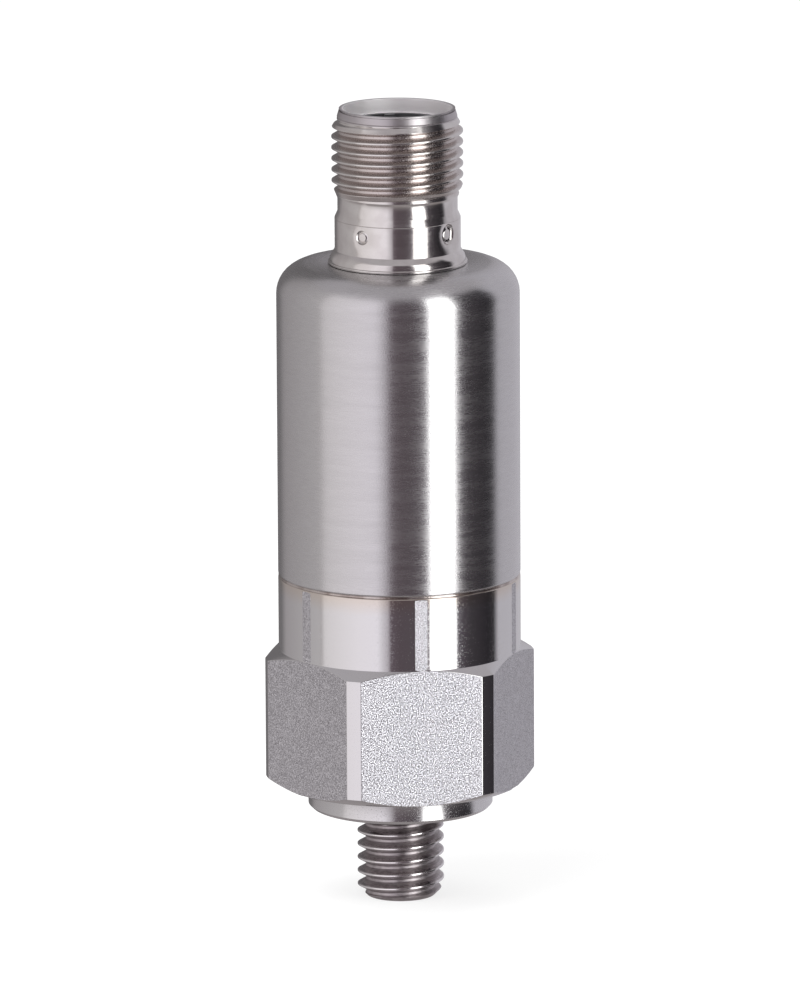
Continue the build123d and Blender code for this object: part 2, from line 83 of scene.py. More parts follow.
view = {
    "turn": -10.2,  # degrees round the axis from the front flat, to the left
    "raise": 12.0,
    "roll": -0.29,
    "distance": 1.0,  # metres
    "farthest": 20,
    "pixelsPerMm": 11.02,
    "pictureHeight": 1000,
    "sensor": 36.0,
    "aimHeight": 28.33,  # millimetres above the seating face
    "aimRight": 0.09,
}


def compass(turn):  # a level direction, turned to the right from the front flat
    angle = math.radians(turn)
    return Vector((math.sin(angle), -math.cos(angle), 0))


def toward(turn, lift):  # the same, lifted above level
    angle = math.radians(lift)
    return compass(turn) * math.cos(angle) + up * math.sin(angle)


def facing(direction):  # turns an object's Z along the direction
    return direction.to_track_quat("Z", "Y").to_matrix().to_4x4()


def addCamera():
    direction = toward(view["turn"], view["raise"])
    right = compass(view["turn"] + 90)
    aim = up * view["aimHeight"] * mm + right * view["aimRight"] * mm
    data = bpy.data.cameras.new("longLens")
    data.sensor_width = view["sensor"]
    pixelsInView = view["distance"] * view["pixelsPerMm"] / mm
    data.lens = view["sensor"] * pixelsInView / view["pictureHeight"]
    data.clip_end = view["farthest"]
    camera = bpy.data.objects.new("longLens", data)
    bpy.context.scene.collection.objects.link(camera)
    roll = Matrix.Rotation(math.radians(view["roll"]), 4, "Z")
    place = Matrix.Translation(aim + direction * view["distance"])
    camera.matrix_world = place @ facing(direction) @ roll
    bpy.context.scene.camera = camera
    bpy.context.scene.view_settings.view_transform = "Standard"
    print("camera in place, lens", round(data.lens))


# What the steel mirrors: bright and dark bands round the object, as degrees to the right of the
# camera

studio = {
    "bands": [
        (-180, (0.16, 0.15, 0.155)),
        (-152, (0.20, 0.19, 0.195)),
        (-138, (0.42, 0.395, 0.405)),
        (-84, (0.60, 0.575, 0.585)),
        (-80, (0.57, 0.54, 0.545)),
        (-76, (0.90, 0.86, 0.875)),
        (-58, (1.00, 0.955, 0.985)),
        (-40, (1.08, 1.03, 1.08)),
        (-21, (1.10, 1.05, 1.12)),
        (-15.3, (0.80, 0.76, 0.81)),
        (-10.5, (0.60, 0.555, 0.60)),
        (-8.5, (0.16, 0.125, 0.145)),
        (0, (0.122, 0.096, 0.11)),
        (18, (0.122, 0.102, 0.115)),
        (28, (0.20, 0.17, 0.20)),
        (31, (3.4, 3.4, 3.4)),
        (54, (3.4, 3.4, 3.4)),
        (56.5, (0.16, 0.137, 0.16)),
        (65, (0.084, 0.073, 0.084)),
        (72, (0.060, 0.053, 0.060)),
        (93, (0.031, 0.028, 0.033)),
        (101.5, (0.045, 0.042, 0.047)),
        (108.5, (0.62, 0.60, 0.645)),
        (160, (0.60, 0.58, 0.625)),
        (176, (0.46, 0.44, 0.47)),
        (180, (0.30, 0.285, 0.30)),
    ],
    "ceiling": (0.52, 0.495, 0.52),
    "ceilingFrom": 0.60,  # sine of the height above the horizon where the bands end
    "ceilingTo": 0.76,
    "ground": (0.36, 0.33, 0.335),
    "groundFrom": -0.38,
    "groundTo": -0.65,
    "paleRoom": 0.62,  # what matt surfaces receive from all round
    "backdrop": (1.0, 1.0, 1.0),
}


def addNode(tree, kind, inputs=None, **settings):
    node = tree.nodes.new(kind)
    for name, value in settings.items():
        setattr(node, name, value)
    for name, value in (inputs or {}).items():
        if isinstance(value, bpy.types.NodeSocket):
            tree.links.new(value, node.inputs[name])
        else:
            node.inputs[name].default_value = value
    return node


def mathNode(tree, operation, first, second=0.0):
    return addNode(tree, "ShaderNodeMath", {0: first, 1: second}, operation=operation).outputs[0]


def between(tree, value, low, high, toLow=0.0, toHigh=1.0, smooth=True):
    kind = "SMOOTHSTEP" if smooth else "LINEAR"
    inputs = {"Value": value, "From Min": low, "From Max": high, "To Min": toLow, "To Max": toHigh}
    return addNode(tree, "ShaderNodeMapRange", inputs, interpolation_type=kind).outputs["Result"]


def mixColours(tree, share, first, second):
    node = addNode(tree, "ShaderNodeMix", data_type="RGBA")
    sockets = (node.inputs[0], node.inputs[6], node.inputs[7])
    for socket, value in zip(sockets, (share, first, second)):
        if isinstance(value, bpy.types.NodeSocket):
            tree.links.new(value, socket)
        else:
            socket.default_value = value if isinstance(value, float) else (*value[:3], 1)
    return node.outputs[2]


def fillRamp(node, stops):
    ramp = node.color_ramp
    while len(ramp.elements) < len(stops):
        ramp.elements.new(0.5)
    for element, (place, colour) in zip(ramp.elements, stops):
        element.position = place
        element.color = (*colour, 1)


def addWorld():
    world = bpy.data.worlds.new("studio")
    bpy.context.scene.world = world
    world.use_nodes = True
    tree = world.node_tree
    tree.nodes.clear()
    direction = addNode(tree, "ShaderNodeTexCoord").outputs["Generated"]
    fromCamera = {"Vector": direction, "Angle": -math.radians(view["turn"])}
    seenFrom = addNode(tree, "ShaderNodeVectorRotate", fromCamera, rotation_type="Z_AXIS")
    parts = addNode(tree, "ShaderNodeSeparateXYZ", {0: seenFrom.outputs[0]})
    ahead = mathNode(tree, "MULTIPLY", parts.outputs["Y"], -1.0)
    angle = mathNode(tree, "ARCTAN2", parts.outputs["X"], ahead)
    place = between(tree, angle, -math.pi, math.pi, smooth=False)
    ramp = addNode(tree, "ShaderNodeValToRGB", {0: place})
    fillRamp(ramp, [((turn + 180) / 360, colour) for turn, colour in studio["bands"]])
    height = parts.outputs["Z"]
    above = between(tree, height, studio["ceilingFrom"], studio["ceilingTo"])
    below = between(tree, height, studio["groundFrom"], studio["groundTo"])
    mirrored = mixColours(tree, above, ramp.outputs["Color"], studio["ceiling"])
    mirrored = mixColours(tree, below, mirrored, studio["ground"])
    rays = addNode(tree, "ShaderNodeLightPath").outputs
    pale = (studio["paleRoom"],) * 3
    lit = mixColours(tree, rays["Is Glossy Ray"], pale, mirrored)
    plain = mathNode(tree, "MAXIMUM", rays["Is Camera Ray"], rays["Is Transmission Ray"])
    seen = mixColours(tree, plain, lit, studio["backdrop"])
    shader = addNode(tree, "ShaderNodeBackground", {"Color": seen, "Strength": 1.0})
    out = addNode(tree, "ShaderNodeOutputWorld")
    tree.links.new(shader.outputs[0], out.inputs["Surface"])
    print("world in place")


lamps = {
    "key": {"turn": -50, "raise": 48, "distance": 0.7, "size": 0.5, "power": 5.0},
    "fill": {"turn": 60, "raise": 30, "distance": 0.8, "size": 0.6, "power": 3.0},
    "back": {"turn": 170, "raise": 55, "distance": 0.8, "size": 0.5, "power": 2.5},
}


def addLamps():
    middle = up * view["aimHeight"] * mm
    for name, lamp in lamps.items():
        data = bpy.data.lights.new(name, "AREA")
        data.shape = "SQUARE"
        data.size = lamp["size"]
        data.energy = lamp["power"]
        direction = toward(view["turn"] + lamp["turn"], lamp["raise"])
        light = bpy.data.objects.new(name, data)
        bpy.context.scene.collection.objects.link(light)
        place = Matrix.Translation(middle + direction * lamp["distance"])
        light.matrix_world = place @ facing(direction)
        light.visible_glossy = False
    print("lamps in place:", ", ".join(lamps))


floorLook = {"size": 6.0, "below": 0.02, "colour": (0.90, 0.90, 0.90), "ownLight": 0.72}


def addFloor():
    height = cadBox[0].z - floorLook["below"] * mm
    bpy.ops.object.select_all(action="DESELECT")
    bpy.ops.mesh.primitive_plane_add(size=floorLook["size"], location=(0, 0, height))
    floor = bpy.context.object
    floor.name = "floor"
    finish = bpy.data.materials.new("paleFloor")
    finish.use_nodes = True
    tree = finish.node_tree
    tree.nodes.clear()
    matt = addNode(tree, "ShaderNodeBsdfDiffuse", {"Color": (*floorLook["colour"], 1)})
    glow = addNode(tree, "ShaderNodeEmission", {"Color": (1, 1, 1, 1), "Strength": 1.0})
    rays = addNode(tree, "ShaderNodeLightPath")
    share = mathNode(tree, "MULTIPLY", rays.outputs["Is Camera Ray"], floorLook["ownLight"])
    mixed = addNode(tree, "ShaderNodeMixShader", {0: share})
    tree.links.new(matt.outputs[0], mixed.inputs[1])
    tree.links.new(glow.outputs[0], mixed.inputs[2])
    out = addNode(tree, "ShaderNodeOutputMaterial")
    tree.links.new(mixed.outputs[0], out.inputs["Surface"])
    floor.data.materials.append(finish)
    floor.visible_glossy = False
    print("floor in place")


# Modelling: rings pulled along an outline, as a lathe tool would follow it

tolerance = {  # millimetres
    "merge": 0.001,
    "mergeCoil": 0.0005,
    "cutFlat": 0.00001,
    "cutCoil": 0.0001,
}


def selectOnly(piece):
    bpy.ops.object.select_all(action="DESELECT")
    piece.select_set(True)
    bpy.context.view_layer.objects.active = piece


def roundCorners(outline, closed=False, steps=3):
    # a point may carry a third value, the radius of its corner
    shaped = []
    count = len(outline)
    for index, point in enumerate(outline):
        radius = point[2] if len(point) > 2 else 0
        corner = Vector(point[:2])
        if not radius or (not closed and index in (0, count - 1)):
            shaped.append((corner.x, corner.y))
            continue
        before = (Vector(outline[index - 1][:2]) - corner).normalized()
        after = (Vector(outline[(index + 1) % count][:2]) - corner).normalized()
        half = before.angle(after) / 2
        centre = corner + (before + after).normalized() * radius / math.sin(half)
        start = corner + before * radius / math.tan(half) - centre
        end = corner + after * radius / math.tan(half) - centre
        sweep = start.angle_signed(end)
        for step in range(steps + 1):
            spoke = start.copy()
            spoke.rotate(Matrix.Rotation(-sweep * step / steps, 2))
            shaped.append((centre.x + spoke.x, centre.y + spoke.y))
    return shaped


def startRing(name, point, steps):
    bpy.ops.object.select_all(action="DESELECT")
    place = (0, 0, point[1] * mm)
    bpy.ops.mesh.primitive_circle_add(vertices=steps, radius=point[0] * mm, location=place)
    ring = bpy.context.object
    ring.name = name
    bpy.ops.object.transform_apply(location=True, rotation=False, scale=False)
    bpy.ops.object.mode_set(mode="EDIT")
    bpy.ops.mesh.select_mode(type="EDGE")
    bpy.ops.mesh.select_all(action="SELECT")
    return ring


def pullRing(outline):
    radius, height = outline[0]
    for nextRadius, nextHeight in outline[1:]:
        rise = (0, 0, (nextHeight - height) * mm)
        bpy.ops.mesh.extrude_region_move(TRANSFORM_OT_translate={"value": rise})
        if nextRadius == 0:
            bpy.ops.mesh.merge(type="CENTER")
            return
        share = nextRadius / radius
        bpy.ops.transform.resize(value=(share, share, 1), center_override=(0, 0, 0))
        radius, height = nextRadius, nextHeight


def closeMesh():
    bpy.ops.mesh.select_mode(type="VERT")
    bpy.ops.mesh.select_all(action="SELECT")
    bpy.ops.mesh.remove_doubles(threshold=tolerance["merge"] * mm)
    bpy.ops.mesh.select_all(action="SELECT")
    bpy.ops.mesh.normals_make_consistent(inside=False)
    bpy.ops.object.mode_set(mode="OBJECT")


def turnPiece(name, outline, steps=roundSteps, corner=3):
    # an outline that starts and ends on the axis is solid, any other one is a ring
    onAxis = outline[0][0] == 0
    shaped = roundCorners(outline, closed=not onAxis, steps=corner)
    if not onAxis:
        piece = startRing(name, shaped[0], steps)
        pullRing(shaped + shaped[:1])
        closeMesh()
        return piece
    piece = startRing(name, shaped[1], steps)
    pullRing(shaped[1:])
    bpy.ops.mesh.select_all(action="DESELECT")
    bpy.ops.mesh.select_mode(type="EDGE")
    bpy.ops.mesh.select_non_manifold()
    pullRing([shaped[1], shaped[0]])
    closeMesh()
    return piece


def smooth(piece, angle=32):
    selectOnly(piece)
    bpy.ops.object.shade_smooth_by_angle(angle=math.radians(angle), keep_sharp_edges=True)
    weighted = piece.modifiers.new("weighted", "WEIGHTED_NORMAL")
    weighted.keep_sharp = True
    bpy.ops.object.modifier_apply(modifier=weighted.name)


def dress(piece, finishes, replaced):
    for finish in finishes:
        if finish.name not in [held.name for held in piece.data.materials if held]:
            piece.data.materials.append(finish)
    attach(piece, "root")
    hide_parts(*replaced)
    print(piece.name, "made,", len(piece.data.polygons), "faces")


# Finishes

noise = {  # shares of a noise between which its tones, patches and specks run
    "fine": (0.3, 0.7),
    "patch": (0.35, 0.65),
    "speck": (0.48, 0.72),
}


def newFinish(name, metallic=1.0):
    finish = bpy.data.materials.new(name)
    finish.use_nodes = True
    shader = finish.node_tree.nodes["Principled BSDF"]
    shader.inputs["Metallic"].default_value = metallic
    return finish, finish.node_tree, shader


def connect(tree, shader, colour, roughness, normal):
    tree.links.new(colour, shader.inputs["Base Color"])
    tree.links.new(normal, shader.inputs["Normal"])
    if isinstance(roughness, float):
        shader.inputs["Roughness"].default_value = roughness
    else:
        tree.links.new(roughness, shader.inputs["Roughness"])


def objectPlace(tree):
    return addNode(tree, "ShaderNodeTexCoord").outputs["Object"]


def axisPoint(tree):
    # object place and its parts, distance from the axis, and the way along the turned outline
    place = objectPlace(tree)
    x, y, z = addNode(tree, "ShaderNodeSeparateXYZ", {0: place}).outputs
    flat = addNode(tree, "ShaderNodeCombineXYZ", {0: x, 1: y})
    length = addNode(tree, "ShaderNodeVectorMath", {0: flat.outputs[0]}, operation="LENGTH")
    radius = length.outputs["Value"]
    along = mathNode(tree, "SUBTRACT", z, radius)
    return {"place": place, "x": x, "y": y, "z": z, "radius": radius, "along": along}


def streaks(tree, point, length, width):
    # noise stretched round the axis: long the way the piece was turned, thin across
    x = mathNode(tree, "MULTIPLY", point["x"], 1 / (length * mm))
    y = mathNode(tree, "MULTIPLY", point["y"], 1 / (length * mm))
    z = mathNode(tree, "MULTIPLY", point["along"], 1 / (width * mm))
    where = addNode(tree, "ShaderNodeCombineXYZ", {0: x, 1: y, 2: z})
    inputs = {"Vector": where.outputs[0], "Scale": 1.0, "Detail": 2.0, "Roughness": 0.6}
    return addNode(tree, "ShaderNodeTexNoise", inputs).outputs["Fac"]


def grains(tree, place, size, detail=2.0, roughness=0.5):
    inputs = {"Vector": place, "Scale": 1 / (size * mm), "Detail": detail, "Roughness": roughness}
    return addNode(tree, "ShaderNodeTexNoise", inputs).outputs["Fac"]


def vectorNode(tree, operation, inputs):
    return addNode(tree, "ShaderNodeVectorMath", inputs, operation=operation).outputs[0]


def tiltedGrains(tree, place, size, amount):
    # a normal that leans a different way from grain to grain
    inputs = {"Vector": place, "Scale": 1 / (size * mm), "Detail": 2.0, "Roughness": 0.7}
    field = addNode(tree, "ShaderNodeTexNoise", inputs).outputs["Color"]
    lean = vectorNode(tree, "SUBTRACT", {0: field, 1: (0.5, 0.5, 0.5)})
    scaled = vectorNode(tree, "SCALE", {0: lean, "Scale": amount})
    normal = addNode(tree, "ShaderNodeNewGeometry").outputs["Normal"]
    leaning = vectorNode(tree, "ADD", {0: normal, 1: scaled})
    return vectorNode(tree, "NORMALIZE", {0: leaning})


def dusting(tree, place, size, roughness):
    # fine dull specks on a bright surface, as an addition to its roughness
    return between(tree, grains(tree, place, size), *noise["speck"], 0.0, roughness)


def bump(tree, height, depth, normal=None):
    inputs = {"Height": height, "Distance": depth * mm, "Strength": 1.0}
    if normal:
        inputs["Normal"] = normal
    return addNode(tree, "ShaderNodeBump", inputs).outputs["Normal"]


def roundTangent(tree, shader, amount):
    # brushing runs round the axis, so highlights spread along it
    tangent = addNode(tree, "ShaderNodeTangent", direction_type="RADIAL", axis="Z")
    tree.links.new(tangent.outputs[0], shader.inputs["Tangent"])
    shader.inputs["Anisotropic"].default_value = amount
    shader.inputs["Anisotropic Rotation"].default_value = 0.25


brushed = {
    "colour": (0.615, 0.610, 0.612),
    "darker": (0.560, 0.552, 0.556),
    "roughness": (0.22, 0.315),
    "roughFrom": 0.7,
    "roughTo": 1.35,
    "streakLength": 1.0,
    "streakWidth": 0.07,
    "streakDepth": 0.0011,
    "broadLength": 9.0,
    "broadWidth": 0.9,
    "grain": 0.13,
    "grainDepth": 0.0042,
    "anisotropy": 0.75,
}


def brushedSteel():
    look = brushed
    finish, tree, shader = newFinish("brushedSteel")
    point = axisPoint(tree)
    fine = streaks(tree, point, look["streakLength"], look["streakWidth"])
    broad = streaks(tree, point, look["broadLength"], look["broadWidth"])
    grain = grains(tree, point["place"], look["grain"])
    tone = mixColours(tree, between(tree, fine, *noise["fine"]), look["darker"], look["colour"])
    mixed = mathNode(tree, "ADD", fine, broad)
    rough = between(tree, mixed, look["roughFrom"], look["roughTo"], *look["roughness"])
    first = bump(tree, grain, look["grainDepth"])
    connect(tree, shader, tone, rough, bump(tree, fine, look["streakDepth"], first))
    roundTangent(tree, shader, look["anisotropy"])
    return finish


turned = {
    "colour": (0.665, 0.660, 0.660),
    "tint": (0.650, 0.575, 0.500),
    "tintReach": 1.8,  # below the seam, give or take half of ragged
    "tintAbove": 0.5,
    "tintShare": 0.75,
    "ragged": 1.2,
    "waveLength": 5.0,
    "waveWidth": 2.5,
    "dust": 0.14,
    "dustRoughness": 0.15,
    "roughness": (0.05, 0.10),
    "bossRoughness": 0.08,
    "bossFrom": 2.2,
    "bossTo": 2.0,
    "lineLength": 14.0,
    "lineWidth": 0.09,
    "lineDepth": 0.00025,
    "grain": 0.16,
    "grainDepth": 0.0005,
}


def turnedSteel():
    look = turned
    finish, tree, shader = newFinish("turnedSteel")
    point = axisPoint(tree)
    lines = streaks(tree, point, look["lineLength"], look["lineWidth"])
    waves = streaks(tree, point, look["waveLength"], look["waveWidth"])
    # heat tint that fades down from the weld
    below = mathNode(tree, "SUBTRACT", seamHeight * mm, point["z"])
    ragged = mathNode(tree, "MULTIPLY", waves, look["ragged"] * mm)
    reach = mathNode(tree, "ADD", ragged, (look["tintReach"] - look["ragged"] / 2) * mm)
    depth = mathNode(tree, "DIVIDE", below, reach)
    fade = between(tree, depth, 0.0, 1.0, look["tintShare"], 0.0)
    isNear = mathNode(tree, "GREATER_THAN", below, -look["tintAbove"] * mm)
    tinted = mathNode(tree, "MULTIPLY", fade, isNear)
    tone = mixColours(tree, tinted, look["colour"], look["tint"])
    plain = between(tree, lines, *noise["fine"], *look["roughness"])
    bossEdges = (look["bossFrom"] * mm, look["bossTo"] * mm)
    boss = between(tree, point["z"], *bossEdges, 0.0, look["bossRoughness"])
    dust = dusting(tree, point["place"], look["dust"], look["dustRoughness"])
    rough = mathNode(tree, "ADD", plain, mathNode(tree, "ADD", boss, dust))
    first = bump(tree, grains(tree, point["place"], look["grain"]), look["grainDepth"])
    connect(tree, shader, tone, rough, bump(tree, lines, look["lineDepth"], first))
    return finish


rawBar = {
    "colour": (0.70, 0.695, 0.715),
    "pit": (0.33, 0.32, 0.335),
    # the front flat's two colours below are a painted highlight, brighter than the other flats
    "paintedHighlightColour": (0.88, 0.88, 0.92),
    "paintedHighlightPit": (0.41, 0.405, 0.43),
    "frontFrom": 10.85,
    "frontTo": 10.95,
    "roughness": 0.42,
    "grain": 0.11,
    "grainDetail": 3.0,
    "grainRoughness": 0.8,
    "pitFrom": 0.40,
    "pitTo": 0.64,
    "cloud": 0.8,
    "cloudShare": 0.08,
    "tilt": 1.5,
}


def rawBarSteel():
    look = rawBar
    finish, tree, shader = newFinish("rawBarSteel")
    point = axisPoint(tree)
    place = point["place"]
    cloud = mathNode(tree, "MULTIPLY", grains(tree, place, look["cloud"]), look["cloudShare"])
    grain = grains(tree, place, look["grain"], look["grainDetail"], look["grainRoughness"])
    pitting = mathNode(tree, "ADD", grain, cloud)
    speck = between(tree, pitting, look["pitFrom"], look["pitTo"])
    tone = mixColours(tree, speck, look["pit"], look["colour"])
    # the front flat is painted brighter than the other five: a painted highlight where the light falls on
    # it
    front = between(tree, point["y"], -look["frontFrom"] * mm, -look["frontTo"] * mm)
    paintedHighlightTone = mixColours(tree, speck, look["paintedHighlightPit"], look["paintedHighlightColour"])
    tone = mixColours(tree, front, tone, paintedHighlightTone)
    connect(tree, shader, tone, look["roughness"], tiltedGrains(tree, place, look["grain"], look["tilt"]))
    return finish


nickel = {
    "colour": (0.635, 0.610, 0.592),
    "lighter": (0.69, 0.67, 0.65),
    # the flank colour is a painted shade in the thread's hollows
    "flank": (0.56, 0.51, 0.49),
    "rim": (0.50, 0.475, 0.485),
    "flankFrom": 5.90,
    "flankTo": 5.62,
    "threadStart": (6.2, 6.9),  # these three are heights above the housing
    "threadEnd": (12.9, 12.6),
    "rimStart": (13.2, 13.4),
    "insideFrom": 5.28,
    "insideTo": 4.84,
    # a painted light on the inner wall, brighter than the plating
    "paintedLightInside": (0.93, 0.92, 0.92),
    "insideRoughness": 0.70,
    "rimRoughness": 0.38,
    "flankRoughness": 0.08,
    "roughness": (0.11, 0.17),
    "lineLength": 12.0,
    "lineWidth": 0.12,
    "lineDepth": 0.0003,
    "handling": 1.3,
    "handlingDepth": 0.0012,
    "dust": 0.13,
    "dustRoughness": 0.14,
}


def aboveHousing(tree, height, pair):
    start, end = pair
    return between(tree, height, (topHeight + start) * mm, (topHeight + end) * mm)


def nickelPlate():
    look = nickel
    finish, tree, shader = newFinish("nickelPlate")
    point = axisPoint(tree)
    place, height, radius = point["place"], point["z"], point["radius"]
    lines = streaks(tree, point, look["lineLength"], look["lineWidth"])
    dents = grains(tree, place, look["handling"], 1.0)
    tone = mixColours(tree, between(tree, dents, *noise["patch"]), look["colour"], look["lighter"])
    # the thread's flanks are duller than its crests, and darker and browner deeper in the thread: a
    # painted shade in the thread's hollows
    threadStart = aboveHousing(tree, height, look["threadStart"])
    threadEnd = aboveHousing(tree, height, look["threadEnd"])
    isThread = mathNode(tree, "MULTIPLY", threadStart, threadEnd)
    deep = between(tree, radius, look["flankFrom"] * mm, look["flankTo"] * mm)
    flank = mathNode(tree, "MULTIPLY", isThread, deep)
    isRim = aboveHousing(tree, height, look["rimStart"])
    # the inner wall of the mouth is painted near white: a painted light inside the recess
    within = between(tree, radius, look["insideFrom"] * mm, look["insideTo"] * mm)
    tone = mixColours(tree, flank, tone, look["flank"])
    tone = mixColours(tree, isRim, tone, look["rim"])
    tone = mixColours(tree, within, tone, look["paintedLightInside"])
    high = look["roughness"][1]
    plain = between(tree, lines, *noise["fine"], *look["roughness"])
    rim = mathNode(tree, "MULTIPLY", isRim, look["rimRoughness"] - high)
    inside = mathNode(tree, "MULTIPLY", within, look["insideRoughness"] - high)
    rougher = mathNode(tree, "MULTIPLY", flank, look["flankRoughness"])
    rougher = mathNode(tree, "MAXIMUM", rougher, mathNode(tree, "MAXIMUM", rim, inside))
    specks = dusting(tree, place, look["dust"], look["dustRoughness"])
    rougher = mathNode(tree, "ADD", rougher, mathNode(tree, "MULTIPLY", isThread, specks))
    rough = mathNode(tree, "ADD", plain, rougher)
    first = bump(tree, dents, look["handlingDepth"])
    connect(tree, shader, tone, rough, bump(tree, lines, look["lineDepth"], first))
    return finish


rolled = {
    "colour": (0.52, 0.485, 0.49),
    "darker": (0.36, 0.33, 0.335),
    "mottleFrom": 0.75,
    "mottleTo": 1.25,
    # the crest colour is partly rubbed wear and partly a painted highlight
    "crest": (0.78, 0.76, 0.76),
    "crestFrom": 3.80,
    "crestTo": 3.92,
    "rootFrom": 3.75,
    "rootTo": 3.45,
    "rootRoughness": 0.26,
    "roughness": (0.10, 0.20),
    "grain": 0.50,
    "grainDetail": 3.0,
    "grainRoughness": 0.6,
    "grainDepth": 0.020,
    "drawnLength": 2.0,
    "drawnWidth": 0.12,
}


def rolledSteel():
    look = rolled
    finish, tree, shader = newFinish("rolledSteel")
    point = axisPoint(tree)
    wear = grains(tree, point["place"], look["grain"], look["grainDetail"], look["grainRoughness"])
    drawn = streaks(tree, point, look["drawnLength"], look["drawnWidth"])
    worn = mathNode(tree, "ADD", wear, drawn)
    mottled = between(tree, worn, look["mottleFrom"], look["mottleTo"])
    tone = mixColours(tree, mottled, look["darker"], look["colour"])
    # the crests are rubbed bright, and painted brighter still as a painted highlight where they catch the
    # light
    crest = between(tree, point["radius"], look["crestFrom"] * mm, look["crestTo"] * mm)
    tone = mixColours(tree, crest, tone, look["crest"])
    rootEdges = (look["rootFrom"] * mm, look["rootTo"] * mm)
    root = between(tree, point["radius"], *rootEdges, 0.0, look["rootRoughness"])
    rough = mathNode(tree, "ADD", between(tree, wear, *noise["patch"], *look["roughness"]), root)
    connect(tree, shader, tone, rough, bump(tree, wear, look["grainDepth"]))
    return finish


weld = {
    "colour": (0.60, 0.55, 0.52),
    "tint": (0.33, 0.275, 0.25),
    "patch": 2.4,
    "patchFrom": 0.4,
    "patchTo": 0.62,
    "roughness": 0.18,
    "ripple": 0.22,
    "rippleDepth": 0.012,
}


def weldBead():
    look = weld
    finish, tree, shader = newFinish("weldBead")
    place = objectPlace(tree)
    ripple = grains(tree, place, look["ripple"], 1.0)
    patch = between(tree, grains(tree, place, look["patch"]), look["patchFrom"], look["patchTo"])
    tone = mixColours(tree, patch, look["colour"], look["tint"])
    connect(tree, shader, tone, look["roughness"], bump(tree, ripple, look["rippleDepth"]))
    return finish


mouldedLook = {"grain": 0.12, "depth": 0.004, "cloud": 9, "darker": 0.8, "uneven": 0.08}


def moulded(name, colour, roughness):
    # a moulded or laminated surface: faint mottling, fine texture
    look = mouldedLook
    finish, tree, shader = newFinish(name, metallic=0.0)
    place = objectPlace(tree)
    fine = grains(tree, place, look["grain"], 3.0)
    cloud = grains(tree, place, look["grain"] * look["cloud"])
    darker = [value * look["darker"] for value in colour]
    tone = mixColours(tree, between(tree, cloud, *noise["patch"]), darker, colour)
    roughEnds = (roughness - look["uneven"], roughness + look["uneven"])
    rough = between(tree, fine, *noise["fine"], *roughEnds)
    connect(tree, shader, tone, rough, bump(tree, fine, look["depth"]))
    return finish


platedLook = {"grain": 0.15, "depth": 0.001, "darker": 0.88, "uneven": 0.2}


def plated(name, colour, roughness):
    # a small metal piece: plated or plain, slightly uneven
    look = platedLook
    finish, tree, shader = newFinish(name)
    fine = grains(tree, objectPlace(tree), look["grain"])
    darker = [value * look["darker"] for value in colour]
    tone = mixColours(tree, between(tree, fine, *noise["patch"]), darker, colour)
    roughEnds = (roughness * (1 - look["uneven"]), roughness * (1 + look["uneven"]))
    rough = between(tree, fine, *noise["fine"], *roughEnds)
    connect(tree, shader, tone, rough, bump(tree, fine, look["depth"]))
    return finish


# Housing: drawn cup, outer and inner skin in one outline

housingShape = {
    "wall": 1.0, "top": 1.2, "shoulder": 2.75, "shoulderSteps": 10,
    "hole": 5.65, "holeEdge": 0.05, "foot": 0.06, "footEdge": 0.26,
}


def makeHousing(finish):
    shape = housingShape
    foot = seamHeight + shape["foot"]
    inner = bodyRadius - shape["wall"]
    under = topHeight - shape["top"]
    outline = [
        (bodyRadius, foot, shape["footEdge"]),
        (bodyRadius, topHeight, shape["shoulder"]),
        (shape["hole"], topHeight, shape["holeEdge"]),
        (shape["hole"], under),
        (inner, under, shape["shoulder"] - shape["wall"]),
        (inner, foot),
    ]
    housing = turnPiece("sensorHousing", outline, corner=shape["shoulderSteps"])
    smooth(housing)
    dress(housing, [finish], ["housing"])


# Base: a turned blank of hexagonal bar, cut by its six flats

baseShape = {
    "mouth": 4.45, "mouthEdge": 0.03, "hole": 3.62, "holeDepth": 9.0, "holeCone": 1.0,
    "boss": 8.4, "bossLow": 0.0, "bossChamfer": 0.30, "bossEdge": 0.05,
    "corner": 12.33, "flat": 11.0, "hexLow": 2.33, "hexTop": 14.83, "slope": 30,
    "spigot": 9.965, "spigotEdge": 0.1, "cavity": 8.2, "floor": 11.0,
    "seamDrop": 0.05, "seamEdge": 0.20, "seamLedge": 0.2, "stripGap": 0.12,
    "bevel": 0.035, "bevelSteps": 2, "bevelFrom": 18,
}


def isFlat(face):
    sideways = Vector((face.normal.x, face.normal.y, 0))
    distance = face.center.dot(face.normal) / mm
    return sideways.length > 0.9999 and abs(distance - baseShape["flat"]) < near


